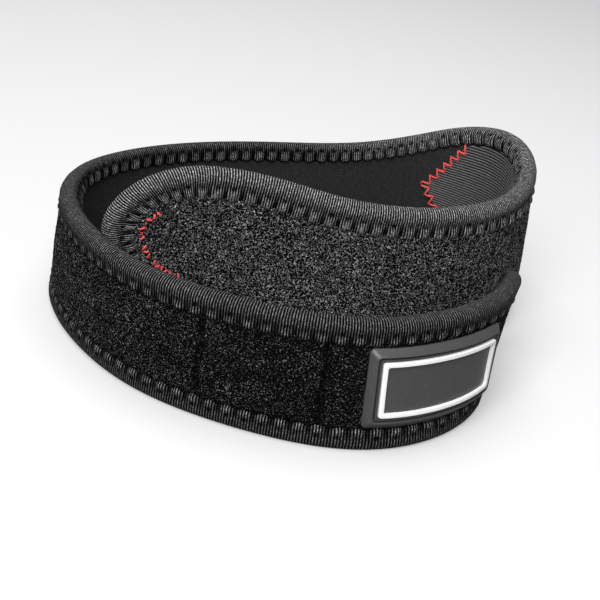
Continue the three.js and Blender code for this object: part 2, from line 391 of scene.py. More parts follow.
def thread_mesh(name: str, runs: Sequence[Array], radius: float) -> Piece:
    """Round threads along lines of points.

    Args:
        name: the piece's name.
        runs: lines of points, in millimetres.
        radius: the thread's radius in millimetres.

    Returns:
        One piece that holds every thread, each closed at its ends.
    """
    verts: list[Array] = []
    faces: list[list[int]] = []
    sides = THREAD_SIDES
    turn = np.linspace(0, 2 * math.pi, sides, endpoint=False)[None, :, None]
    for run in runs:
        tangent = np.gradient(run, axis=0)
        tangent /= np.linalg.norm(tangent, axis=1, keepdims=True)
        ahead = np.cross(tangent, THREAD_ACROSS)
        ahead /= np.linalg.norm(ahead, axis=1, keepdims=True)
        beside = np.cross(tangent, ahead)
        start = sum(len(v) for v in verts)
        ring = ahead[:, None] * np.cos(turn) + beside[:, None] * np.sin(turn)
        verts.append((run[:, None] + radius * ring).reshape(-1, 3))
        for i in range(len(run) - 1):
            low, high = start + i * sides, start + (i + 1) * sides
            for k in range(sides):
                k2 = (k + 1) % sides
                faces.append([low + k, low + k2, high + k2, high + k])
        faces.append([start + k for k in reversed(range(sides))])
        faces.append([start + (len(run) - 1) * sides + k for k in range(sides)])
    mesh = bpy.data.meshes.new(name)
    mesh.from_pydata((np.concatenate(verts) * MM).tolist(), [], faces)
    mesh.shade_smooth()
    return new_object(name, mesh)


def settle(piece: Piece, finish: Material, slot: str, *nodes: str) -> Piece:
    """Gives a piece its finish and its body, and hides the nodes that it stands for.

    Args:
        piece: the piece.
        finish: its material.
        slot: not used.
        nodes: CAD nodes that the piece replaces.

    Returns:
        The piece.
    """
    piece.data.materials.append(finish)
    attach(piece, BODY)
    if nodes:
        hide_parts(*nodes)
    LOG.info("%s: %d faces", piece.name, len(piece.data.polygons))
    return piece


# Finishes


def pick(sockets: Sequence[Socket], key: str | int) -> Socket:
    """The socket with a number, a name or an identifier."""
    return next(s for n, s in enumerate(sockets) if key in (n, s.name, s.identifier))


@dataclass
class ShaderTree:
    """Short names for placing nodes in one tree."""

    tree: Tree

    def feed(self, source: object, socket: Socket) -> None:
        """Links a socket to an input, or sets the input to a constant.

        Args:
            source: a socket or constant.
            socket: the input.
        """
        if isinstance(source, Socket):
            self.tree.links.new(source, socket)
        else:
            socket.default_value = source

    def node(self, kind: str, inputs: Inputs = MappingProxyType({}), **settings: object) -> Node:
        """Places a node.

        Args:
            kind: its type.
            inputs: sockets or constants for its inputs, by their number, name or identifier.
            settings: its properties by name.

        Returns:
            The node.
        """
        made = self.tree.nodes.new(kind)
        for key, value in settings.items():
            setattr(made, key, value)
        for key, value in inputs.items():
            self.feed(value, pick(made.inputs, key))
        return made

    def math(self, operation: str, *terms: object) -> Socket:
        """Output of a Math node."""
        return self.node("ShaderNodeMath", dict(enumerate(terms)), operation=operation).outputs[0]

    def times(self, *terms: object) -> Socket:
        """Product of sockets and constants."""
        return reduce(lambda one, other: self.math("MULTIPLY", one, other), terms)

    def scaled(self, value: object, factor: object, more: object) -> Socket:
        """A number times a factor, and more added."""
        return self.math("MULTIPLY_ADD", value, factor, more)

    def ramp(self, value: object, low: object, high: object, *ends: float) -> Socket:
        """Output of a clamped Map Range node, from 0 to 1 or between two given ends."""
        terms = dict(enumerate((value, low, high, *(ends or (0, 1)))))
        return self.node("ShaderNodeMapRange", terms, interpolation_type="SMOOTHSTEP").outputs[0]

    def mix(self, share: object, first: object, second: object) -> Socket:
        """Mix of two numbers."""
        terms = {"Factor_Float": share, "A_Float": first, "B_Float": second}
        return pick(self.node("ShaderNodeMix", terms, data_type="FLOAT").outputs, "Result_Float")

    def blend(self, share: object, first: object, second: object) -> Socket:
        """Mix of two colours."""
        terms = {"Factor_Float": share, "A_Color": first, "B_Color": second}
        return pick(self.node("ShaderNodeMix", terms, data_type="RGBA").outputs, "Result_Color")

    def noise(self, **inputs: object) -> Socket:
        """Output of a Noise node over the object, its inputs fed by name."""
        place = self.node("ShaderNodeTexCoord").outputs["Object"]
        return self.node("ShaderNodeTexNoise", {"Vector": place, **inputs}).outputs[0]

    def group(self, tree: Tree, **inputs: object) -> dict[str, Socket]:
        """Outputs by name of a node group, its inputs fed by name."""
        return dict(self.node("ShaderNodeGroup", inputs, node_tree=tree).outputs.items())


@dataclass
class GroupMaker:
    """A shader node group with float sockets, while it is made.

    Attributes:
        name: the group's name.
        inputs: names and usual values of its inputs.
    """

    name: str
    inputs: dict[str, float]

    def __post_init__(self) -> None:
        """Makes the empty group."""
        self.tree = bpy.data.node_groups.new(self.name, "ShaderNodeTree")
        for label, value in self.inputs.items():
            self._socket(label, "INPUT").default_value = value
        self.short = ShaderTree(self.tree)
        self.given = self.short.node("NodeGroupInput").outputs

    def _socket(self, label: str, way: str) -> bpy.types.NodeTreeInterfaceSocket:
        """A new float socket of the group."""
        return self.tree.interface.new_socket(name=label, in_out=way, socket_type="NodeSocketFloat")

    def close(self, **results: Socket) -> Tree:
        """Closes the group.

        Args:
            results: the sockets to put out, by name.

        Returns:
            The finished group.
        """
        for label in results:
            self._socket(label, "OUTPUT")
        self.short.node("NodeGroupOutput", results)
        return self.tree


WAVER_SCALE = 700
WARP_SCALE, WARP_SHARE = 0.4, 0.4
FIBRE_EDGE = 0.1
GAP_SCALE, GAPS = 1.3, (0.39, 0.54)
DRIFT_SCALE, DRIFT = 0.12, (0.3, 0.7, 0.8, 1.0)


def make_rows_group() -> Tree:
    """Even rows across a distance, each with a rounded height.

    Returns:
        The group.
    """
    maker = GroupMaker("even_rows", {"Distance": 0.0, "Pitch": 1.0, "Waver": 0.0})
    short, given = maker.short, maker.given
    waver = short.times(short.math("SUBTRACT", short.noise(Scale=WAVER_SCALE), 0.5), given["Waver"])
    phase = short.math("DIVIDE", short.math("ADD", given["Distance"], waver), given["Pitch"])
    wave = short.math("SINE", short.times(phase, math.pi))
    return maker.close(Height=short.math("ABSOLUTE", wave))


def make_fibre_group() -> Tree:
    """Tangled fibres: a height, and a mask of the few that stand in the light.

    Returns:
        The group.
    """
    maker = GroupMaker("tangled_fibres", {"Scale": 1500.0, "Twist": 1.2, "Few": 0.62})
    short, given = maker.short, maker.given
    warp = short.noise(Scale=short.times(given["Scale"], WARP_SCALE))
    fibre = short.noise(Scale=given["Scale"], Distortion=given["Twist"], Detail=3, Roughness=0.6)
    bright = short.ramp(fibre, given["Few"], short.math("ADD", given["Few"], FIBRE_EDGE))
    return maker.close(Height=short.scaled(warp, WARP_SHARE, fibre), Bright=bright)


def make_curls_group() -> Tree:
    """Short curls lying every way: a height, and a mask of painted glints on the parts that would
    catch the light.

    Returns:
        The group.
    """
    maker = GroupMaker("short_curls", {"Scale": 1200.0, "Thin": 0.07})
    short, scale = maker.short, maker.given["Scale"]
    line = short.noise(Scale=scale, Distortion=0.6, Detail=0)
    away = short.math("ABSOLUTE", short.math("SUBTRACT", line, 0.5))
    broken = short.ramp(short.noise(Scale=short.times(scale, GAP_SCALE), Detail=0), *GAPS)
    curl = short.times(short.ramp(away, maker.given["Thin"], 0), broken)
    drift = short.ramp(short.noise(Scale=short.times(scale, DRIFT_SCALE), Detail=1), *DRIFT)
    return maker.close(Height=curl, Bright=short.times(curl, drift))


@dataclass(frozen=True)
class Finish:
    """What every finish shares: a name and one Principled shader."""

    name: str

    def start(self, **constants: float) -> tuple[Material, ShaderTree]:
        """Starts a material.

        Args:
            constants: what is set on its shader, underscores standing for spaces.

        Returns:
            The material and its short-hand tree.
        """
        made = bpy.data.materials.new(self.name)
        made.use_nodes = True
        shader = made.node_tree.nodes["Principled BSDF"]
        for name, value in constants.items():
            shader.inputs[name.replace("_", " ")].default_value = value
        return made, ShaderTree(made.node_tree)

    def close(self, made: Material, colour: Socket, height: object, depth: float) -> Material:
        """Links a material's colour and relief.

        Args:
            made: the material.
            colour: its colour.
            height: its relief, in shares of the depth.
            depth: how deep the relief is, in metres.

        Returns:
            The material.
        """
        short, shader = ShaderTree(made.node_tree), made.node_tree.nodes["Principled BSDF"]
        bump = short.node("ShaderNodeBump", {"Strength": 1.0, "Distance": depth, "Height": height})
        short.feed(colour, shader.inputs["Base Color"])
        short.feed(bump.outputs["Normal"], shader.inputs["Normal"])
        return made

    def tone(self, short: ShaderTree) -> Socket:
        """The painted light and shade on the piece there, as its mesh says."""
        return short.node("ShaderNodeAttribute", attribute_name="tone").outputs["Fac"]

    def distances(self, short: ShaderTree) -> tuple[Socket, Socket]:
        """The distances along and across the piece, from its UVs.

        Args:
            short: the material's tree.

        Returns:
            Both distances in millimetres.
        """
        uv = short.node("ShaderNodeUVMap", uv_map="cloth").outputs["UV"]
        parts = short.node("ShaderNodeSeparateXYZ", {0: uv}).outputs
        return parts[0], parts[1]


@dataclass(frozen=True)
class RibbedTape(Finish):
    """Black satin binding tape with fine ribs: painted rib glints, painted shade where the tone is
    dark, a painted highlight where it puffs.
    """

    rows: Tree
    fibres: Tree
    dark: Colour = (0.002, 0.002, 0.0022, 1)
    light: Colour = (0.54, 0.54, 0.545, 1)
    pitch: float = 0.78
    depth: float = 0.0004
    crest: float = 6.0
    rib_glint: Span = (0.7, 0.3)
    tuft: Span = (0.36, 0.22)
    fuzz: Span = (0.3, 0.25)
    puff_highlight: Span = (-0.2, 0.9)
    shade_ramp: Span = (-1.0, 0.1)

    def build(self) -> Material:
        """Builds the material.

        Returns:
            The finished material.
        """
        made, short = self.start(Roughness=0.5, Specular_IOR_Level=0.03)
        along, _ = self.distances(short)
        tone = self.tone(short)
        rib = short.group(self.rows, Distance=along, Pitch=self.pitch, Waver=0.35)["Height"]
        fuzz = short.group(self.fibres, Scale=1900.0, Twist=1.0, Few=0.5)
        # Painted glints: the rib tops are painted light and the grooves between them dark.
        sharp = short.math("POWER", rib, self.crest)
        puff_highlight = short.ramp(tone, *self.puff_highlight)
        rib_glint = short.times(sharp, short.scaled(fuzz["Bright"], *self.rib_glint))
        tuft = short.scaled(fuzz["Bright"], self.tuft[0], short.times(sharp, self.tuft[1]))
        # Painted shade: a dark tone darkens the colour; a raised tone lays on the fuzzier tuft
        # pattern, a painted highlight on the puffs.
        share = short.times(short.mix(puff_highlight, rib_glint, tuft), short.ramp(tone, *self.shade_ramp))
        ribbed = short.scaled(fuzz["Height"], self.fuzz[0], rib)
        height = short.mix(puff_highlight, ribbed, short.scaled(rib, self.fuzz[1], fuzz["Height"]))
        return self.close(made, short.blend(share, self.dark, self.light), height, self.depth)


@dataclass(frozen=True)
class LoopNap(Finish):
    """Black loop pile: painted glints on short curled loops over black, thinned and sunk to a
    painted shade colour where the tone is dark.
    """

    curls: Tree
    dark: Colour = (0.002, 0.002, 0.0022, 1)
    light: Colour = (0.6, 0.6, 0.605, 1)
    painted_shade: Colour = (0.001, 0.001, 0.0011, 1)
    depth: float = 0.0005
    unshaded: Span = (-0.9, -0.1)
    sparse: float = 2.6
    left: float = 0.12

    def build(self) -> Material:
        """Builds the material.

        Returns:
            The finished material.
        """
        made, short = self.start(Roughness=0.7, Specular_IOR_Level=0.02)
        # Painted glints: the pale colour is laid on the curls' glint mask over black.
        nap = short.group(self.curls, Scale=1700.0, Thin=0.12)
        # Painted shade: where the tone is dark the glints thin out and the colour sinks to the
        # painted shade colour.
        full = short.ramp(self.tone(short), *self.unshaded)
        lit = short.math("POWER", nap["Bright"], short.mix(full, self.sparse, 1.0))
        unshaded = short.blend(lit, self.dark, self.light)
        colour = short.blend(short.mix(full, self.left, 1.0), self.painted_shade, unshaded)
        return self.close(made, colour, nap["Height"], self.depth)


@dataclass(frozen=True)
class Jersey(Finish):
    """Smooth matte jersey with faint wales."""

    rows: Tree
    fibres: Tree
    dark: Colour = (0.006, 0.006, 0.0065, 1)
    light: Colour = (0.045, 0.045, 0.047, 1)
    wale: float = 0.8
    depth: float = 0.0001
    shares: Span = (0.45, 0.5)
    fuzz: float = 0.5

    def build(self) -> Material:
        """Builds the material.

        Returns:
            The finished material.
        """
        made, short = self.start(Roughness=0.8, Specular_IOR_Level=0.12)
        slant = short.math("ADD", *self.distances(short))
        wale = short.group(self.rows, Distance=slant, Pitch=self.wale, Waver=0.5)["Height"]
        fuzz = short.group(self.fibres, Scale=2200.0, Twist=1.0, Few=0.48)
        share = short.scaled(fuzz["Bright"], self.shares[0], short.times(wale, self.shares[1]))
        height = short.scaled(fuzz["Height"], self.fuzz, wale)
        return self.close(made, short.blend(share, self.dark, self.light), height, self.depth)


@dataclass(frozen=True)
class HookTape(Finish):
    """Dark grey woven tape with rows of hooks."""

    rows: Tree
    fibres: Tree
    dark: Colour = (0.003, 0.003, 0.0033, 1)
    light: Colour = (0.26, 0.26, 0.265, 1)
    row: float = 1.05
    knot: float = 0.7
    depth: float = 0.0003
    knotted: float = 0.3
    fuzz: Span = (0.3, 0.4)

    def build(self) -> Material:
        """Builds the material.

        Returns:
            The finished material.
        """
        made, short = self.start(Roughness=0.55, Specular_IOR_Level=0.2)
        along, across = self.distances(short)
        line = short.group(self.rows, Distance=across, Pitch=self.row, Waver=0.1)["Height"]
        knot = short.group(self.rows, Distance=along, Pitch=self.knot, Waver=0.3)["Height"]
        fuzz = short.group(self.fibres, Scale=2300.0, Twist=1.0, Few=0.5)
        hooks = short.scaled(knot, self.knotted, short.scaled(fuzz["Bright"], *self.fuzz))
        share = short.times(line, line, hooks)
        return self.close(made, short.blend(share, self.dark, self.light), share, self.depth)


@dataclass(frozen=True)
class MouldedRubber(Finish):
    """Soft moulded rubber with a fine grain."""

    fibres: Tree
    base: Colour = (0.047, 0.047, 0.048, 1)
    wear_and_shade: Colour = (0.055, 0.055, 0.057, 1)
    roughness: float = 0.38
    depth: float = 0.00003
    grain: Span = (0.4, 1.0)
    polish: Span = (-0.05, 0.08)

    def build(self) -> Material:
        """Builds the material.

        Returns:
            The finished material.
        """
        made, short = self.start()
        grain = short.group(self.fibres, Scale=900.0, Twist=0.4, Few=0.55)
        ends = (self.roughness + change for change in self.polish)
        rough = short.ramp(grain["Height"], *self.grain, *ends)
        short.feed(rough, made.node_tree.nodes["Principled BSDF"].inputs["Roughness"])
        colour = short.blend(grain["Bright"], self.base, self.wear_and_shade)
        return self.close(made, colour, grain["Height"], self.depth)


@dataclass(frozen=True)
class Thread(Finish):
    """Twisted sewing thread, with painted highlights on its twist."""

    fibres: Tree
    shade: Colour = (0.72, 0.03, 0.026, 1)
    lit: Colour = (0.95, 0.10, 0.085, 1)
    depth: float = 0.00008

    def build(self) -> Material:
        """Builds the material.

        Returns:
            The finished material.
        """
        made, short = self.start(Roughness=0.5, Sheen_Weight=0.2)
        twist = short.group(self.fibres, Scale=2400.0, Twist=0.8, Few=0.48)
        # Painted highlights: the lit red is laid on the twist's mask over the shaded red.
        colour = short.blend(twist["Bright"], self.shade, self.lit)
        return self.close(made, colour, twist["Height"], self.depth)


# Sub-assemblies


@dataclass
class BandPiece:
    """A piece on the band, with its finish, a slot name and the nodes that it stands for."""

    path: BandPath
    finish: Material
    slot: str
    nodes: tuple[str, ...]

    def make(self) -> Piece:
        """The bare piece, which each class makes its own way."""
        raise NotImplementedError

    def place(self) -> Piece:
        """The piece, dressed and placed."""
        return settle(self.make(), self.finish, self.slot, *self.nodes)


@dataclass(frozen=True)
class Gather:
    """One gather of the tape between two stitches: sizes in millimetres, from its border up.

    Attributes:
        puff: width of the raised part.
        hole: width of the needle hole above it.
        pinch: width of the dip on either side.
        dark: how dark the painted shade in that dip is.
        pull: how deep the thread draws the row of holes in.
        flare: width of the raised part at the tape's border, as a share of puff.
        narrowing: how much of that share goes by the row of holes.
        middles: middles of the raised part and the dip, as shares of the way to the holes.
        widths: their widths, as such shares.
        hole_up: how far past the row the needle goes in.
        hole_height: height of a needle hole.
        lip_width: width of the rolled border.
        pull_width: width of the drawn-in row.
        heights: of the raised part, the hole and the dip.
        darks: painted shade in the hole, in the drawn-in row and under the rolled border.
    """

    puff: float
    hole: float
    pinch: float
    dark: float
    pull: float
    flare: float = 1.3
    narrowing: float = 0.6
    middles: Span = (0.42, 0.4)
    widths: Span = (0.38, 0.6)
    hole_up: float = 0.3
    hole_height: float = 0.6
    lip_width: float = 0.55
    pull_width: float = 1.5
    heights: tuple[float, float, float] = (0.8, 0.8, 0.7)
    darks: tuple[float, float, float] = (1.1, 0.6, 0.35)


class Stitches(NamedTuple):
    """The stitch at each station round the tape, a column for each.

    Attributes:
        phase: share of a stitch from the middle of a gather, from -0.5 to 0.5.
        swell: how full the gather is.
        deep: how deep its needle hole is.
    """

    phase: Array
    swell: Array
    deep: Array


@dataclass
class EdgeBinding(BandPiece):
    """The tape folded over the band's edge, gathered by the stitches along both its borders."""

    tongue_reach: float = 9.5
    front_reach: float = 7.0
    under_reach: float = 5.5
    inner_reach: float = 6.0
    cloth: float = 1.0
    lip: float = 0.7
    taper: float = 0.45
    tape_front_shade: float = 0.5
    shaded: float = 0.42
    inner_hole: float = 4.6
    stitch: float = 4.9
    step: float = 0.5
    widening: Span = (0.15, 0.5)
    swells: Span = (0.55, 1.25)
    deeps: Span = (0.5, 1.2)
    stray: float = 0.035
    scallop: float = 0.3
    inner_scallop: float = 0.6
    outer_columns: int = 15
    edge_columns: int = 12
    inner_columns: int = 9
    hole_share: float = 0.62
    hole_past: float = 0.4
    taper_width: float = 2.2
    least_full: float = 0.45
    full_over: Span = (7.0, 8.5)
    tone_power: float = 1.2
    tape_front_shade_over: Span = (0.33, 0.5)
    shaded_over: Span = (5.5, 2.5)
    tuck: float = 0.1
    seed: int = 7
    outer_gather: Gather = Gather(1.15, 0.75, 0.9, 1.0, 0.35)
    inner_gather: Gather = Gather(1.6, 0.9, 0.5, 0.4, 0.15)

    def outer_reach(self, s: Array, side: Array) -> Array:
        """How far the tape comes over the outer face: wide round the tongue, narrow below it.

        Args:
            s: places along the band.
            side: below 0 for the half under the middle line.

        Returns:
            Distances from the band's edge.
        """
        under = (self.under_reach - self.tongue_reach) * smooth_step(0, self.path.tongue, s)
        near = self.tongue_reach + np.where(side < 0, under, 0)
        return near + (self.front_reach - near) * smooth_step(*self.widening, s / self.path.length)

    def stitches(self, travelled: Array) -> Stitches:
        """Spaces the stitches evenly round the tape, each a little different.

        Args:
            travelled: the distance of each station, and the whole way round.

        Returns:
            The stitch at each station.
        """
        count = round(travelled[-1] / self.stitch)
        turns = travelled[:-1] / travelled[-1] * count
        number = np.floor(turns).astype(int)
        rng = np.random.default_rng(self.seed)
        swell = rng.uniform(*self.swells, count)[number][:, None]
        deep = rng.uniform(*self.deeps, count)[number][:, None]
        stray = rng.normal(0, self.stray, count)[number][:, None]
        phase = (turns - number - 0.5)[:, None]
        return Stitches(phase + stray * np.cos(math.pi * phase) ** 2, swell, deep)

    def relief(
        self, gather: Gather, sewn: Stitches, border: Array, reach: Array
    ) -> tuple[Array, Array]:
        """Height of the gathers over the plain tape, and their painted light and shade.

        Args:
            gather: sizes of one gather.
            sewn: the stitch at each station.
            border: distance from the tape's border.
            reach: distance of the row of needle holes from the border.

        Returns:
            Heights in millimetres, and tones of painted light and shade from -1 to 1.
        """
        x, way = sewn.phase * self.stitch, border / reach
        past = border - reach - gather.hole_up
        shell = gather.puff * (gather.flare - gather.narrowing * np.clip(way, 0, 1))
        raised, dip = (bell(way - m, w) for m, w in zip(gather.middles, gather.widths))
        puff = sewn.swell * bell(x, shell) * raised
        hole = sewn.deep * bell(x, gather.hole) * bell(past, gather.hole_height)
        pinch = bell(np.abs(x) - self.stitch / 2, gather.pinch) * dip
        lip = bell(border, gather.lip_width)
        pull = gather.pull * bell(past, gather.pull_width)
        up, into, down = gather.heights
        hole_dark, pull_dark, lip_dark = gather.darks
        height = up * puff - into * hole - down * pinch - pull - self.lip * lip
        # Painted highlight on the puff; painted shade in the needle hole, the dips between gathers,
        # the drawn-in row and under the rolled border.
        tone = puff - hole_dark * hole - gather.dark * pinch - pull_dark * pull - lip_dark * lip
        return height, tone

    def make(self) -> Piece:
        """Sweeps the tape's section right round the band.

        Returns:
            The binding.
        """
        path, half = self.path, self.path.half
        places, travelled = path.outline(self.step)
        sewn, side = self.stitches(travelled), places.side[:, None]
        s, _ = path.inset(places, np.array([0.0]), side)
        reach = self.outer_reach(s, side)
        scallop = self.scallop * np.cos(2 * math.pi * sewn.phase)
        outer_edge, inner_edge = reach + scallop, self.inner_reach + self.inner_scallop * scallop

        steps = np.linspace(0, 1, self.outer_columns)[None, :]
        outer_in = outer_edge + (half - outer_edge) * steps
        arc = np.radians(np.linspace(0, 180, self.edge_columns))[None, 1:-1]
        inner_in = half + (inner_edge - half) * np.linspace(0, 1, self.inner_columns)[None, :]
        ones = np.ones((len(s), 1))
        inset = np.hstack([outer_in, ones * (half - half * np.sin(arc)), inner_in])
        lean_in = np.hstack([0 * outer_in, ones * -np.sin(arc), 0 * inner_in])
        lean_out = np.hstack([1 + 0 * outer_in, ones * np.cos(arc), -1 + 0 * inner_in])
        level = half * lean_out
        hop = np.hypot(np.diff(inset, axis=1), np.diff(level, axis=1))
        outer_way = np.hstack([0 * s, np.cumsum(hop, axis=1)])
        inner_way = outer_way[:, -1:] - outer_way
        hole_row = self.hole_share * (reach - half) + self.hole_past
        inner_row = np.array([[self.inner_hole]])
        outer, outer_tone = self.relief(self.outer_gather, sewn, outer_way, hole_row)
        inner, inner_tone = self.relief(self.inner_gather, sewn, inner_way, inner_row)
        sink = self.taper * bell(outer_way, self.taper_width)
        fullness = self.least_full + (1 - self.least_full) * smooth_step(*self.full_over, reach)
        # Painted shade: the tape darkens along the band towards the tail, and its inner face darkens
        # away from the edge.
        wear_and_shade = self.tape_front_shade * smooth_step(*self.tape_front_shade_over, s / path.length)
        shaded = self.shaded * smooth_step(*self.shaded_over, inner_way)
        height = outer * fullness + inner - sink
        tone = outer_tone * fullness**self.tone_power + inner_tone - wear_and_shade - shaded
        inset, level = inset + lean_in * height, level + lean_out * height

        inside = half - self.cloth
        under = np.radians(np.linspace(180, 0, 4))[None, :]
        hem = ones * (half - inside * np.sin(under))
        inset = np.hstack([outer_edge - self.tuck, inset, inner_edge - self.tuck, hem])
        level = np.hstack([ones * inside, level, ones * -inside, ones * inside * np.cos(under)])
        s, width = path.inset(places, inset, side)
        points = path.point(s, side * width, level)
        hops = np.linalg.norm(np.roll(points, -1, axis=1) - points, axis=2).mean(axis=0)
        hidden = np.full((len(side), 1), -1.0)
        tone = np.hstack([hidden, tone, np.repeat(hidden, 1 + under.size, axis=1)])
        section = np.concatenate([[0], np.cumsum(hops)])
        return grid_mesh("ribbed_binding", points, travelled, section, True, np.clip(tone, -1, 1))


@dataclass
class LayerStrip(BandPiece):
    """A cloth layer of the band: an outer or inner face between two edges that the binding hides."""

    name: str
    near: float
    far: float
    inset: float
    step: float
    columns: int
    rise: float
    crown: float
    border: Callable[[Array, Array], Array]
    roughness: float = 0.0
    pile_front_shade: float = 0.0
    pile_front_shade_over: Span = (0.1, 0.95)
    unshaded_end: float = 0.35
    unshaded_over: Span = (0.93, 0.98)
    rise_over: Span = (-2.2, 0.6)
    crown_over: Span = (0, 12)
    border_shade: float = 0.25
    edge_width: float = 0.7
    seams: tuple[float, ...] = ()
    seam_depth: float = 1.0
    seam_width: float = 1.4
    seam_sway: float = 0.25
    seam_shade: float = 0.7
    back_columns: int = 7
    seed: int = 3

    def face_level(self, s: Array, u: Array) -> tuple[Array, Array]:
        """Level and painted tone of the shown face.

        Args:
            s: places along the band.
            u: heights over the middle line.

        Returns:
            Levels in millimetres, outward positive, and tones of painted shade from -1 to 0.
        """
        sign = math.copysign(1, self.near - self.far)
        past = self.path.depth(s, u) - self.border(s, u)
        level = self.rise * smooth_step(*self.rise_over, past)
        level = level + self.crown * smooth_step(*self.crown_over, past)
        # Painted shade: the pile darkens along the band towards the tail, a little less at its very
        # end.
        share = s / self.path.length
        unshaded = self.unshaded_end * smooth_step(*self.unshaded_over, share)
        painted_shade = self.pile_front_shade * (smooth_step(*self.pile_front_shade_over, share) - unshaded)
        # Painted shade next to the binding's border, and in the crease of each seam below.
        tone = -self.border_shade * bell(past, self.edge_width) - painted_shade
        for seam in self.seams:
            sway = self.seam_sway * np.sin(u / 2)
            crease = bell(s - seam - sway, self.seam_width / 2)
            level, tone = level - self.seam_depth * crease, tone - self.seam_shade * crease
        if self.roughness:
            rng = np.random.default_rng(self.seed)
            level = level + self.roughness * rng.normal(0, 1, level.shape)
        return self.near + sign * level, np.maximum(tone, -1)

    def make(self) -> Piece:
        """Builds the layer as one closed body.

        Returns:
            The layer.
        """
        path, places = self.path, self.path.strip(self.step)
        s, u, _ = path.spread(places, self.inset, self.columns)
        level, tone = self.face_level(s, u)
        s_back, u_back, _ = path.spread(places, self.inset, self.back_columns)
        back = path.point(s_back, u_back, np.full(s_back.shape, self.far))[:, ::-1]
        points = np.concatenate([path.point(s, u, level), back], axis=1)
        tone = np.hstack([tone, np.full(s_back.shape, -1.0)])
        wide = path.width + path.drop
        there, home = np.linspace(0, wide, self.columns), np.linspace(wide, 0, self.back_columns + 1)
        return grid_mesh(self.name, points, s[:, 0], np.concatenate([there, home]), False, tone)


@dataclass
class HookPatch(BandPiece):
    """The hook tape on the inner face, rounded at the tongue and pointed at its far end."""

    inset: float = 6.3
    length: float = 212.0
    point: float = 22.0
    heel: float = 7.0
    base: float = -2.3
    top: float = -3.05
    row: float = 1.05
    hook: float = 0.3
    knot: float = 1.4
    knot_low: float = 0.3
    turned_from: float = 172.0
    turned: float = 0.0071
    step: float = 0.7
    end_turns: int = 28
    point_columns: int = 40
    row_columns: int = 4
    back_columns: int = 5
    back: float = 0.05

    def make(self) -> Piece:
        """Builds the patch with its rows standing up.

        Returns:
            The patch.
        """
        path = self.path
        turns = self.end_turns
        angle = np.linspace(0, math.pi / 2, turns, endpoint=False)
        straight = np.arange(path.tongue, self.length - self.point, self.step)
        tip = np.linspace(self.length - self.point, self.length, self.point_columns)
        along = np.concatenate([np.zeros(turns), straight, tip])
        part = np.where(np.arange(len(along)) < turns, Part.TONGUE.value, Part.RUN.value)
        angle = np.concatenate([angle, np.full(len(along) - turns, math.pi / 2)])
        places = Stations(part, angle, along, np.ones(len(along)))

        def pointed(count: int) -> tuple[Array, Array]:
            """Places and heights of an even grid over the patch, narrowed to its point.

            Args:
                count: points across the patch.

            Returns:
                The places and the heights.
            """
            s, u, share = path.spread(places, self.inset, count)
            left = np.maximum(self.length - s, 0)
            return s, u * np.minimum(1, left / np.where(share > 0, self.point, self.heel))

        s, u = pointed(self.row_columns * int((path.width + path.drop - 2 * self.inset) / self.row))
        across = u - self.turned * np.maximum(s - self.turned_from, 0) ** 2 + path.width
        rows = np.abs(np.sin(math.pi * across / self.row))
        knots = np.cos(2 * math.pi * s / self.knot + math.pi * np.round(across / self.row))
        knots = self.knot_low + (1 - self.knot_low) * (1 + knots) / 2
        level = self.top - self.hook * rows * knots
        level[:, [0, -1]] = self.base
        s_back, u_back = pointed(self.back_columns)
        back = path.point(s_back, u_back, np.full(u_back.shape, self.base + self.back))[:, ::-1]
        points = np.concatenate([path.point(s, u, level), back], axis=1)
        home = np.linspace(across[:, -1], across[:, 0], self.back_columns + 1, axis=1)
        along = np.concatenate([s, np.repeat(s[:, :1], self.back_columns + 1, axis=1)], axis=1)
        return grid_mesh("hook_rows", points, along, np.concatenate([across, home], axis=1), False)


class LabelStep(NamedTuple):
    """One line of the label's section: inset from its outline and level as a share of its rise."""

    inset: float
    level: float


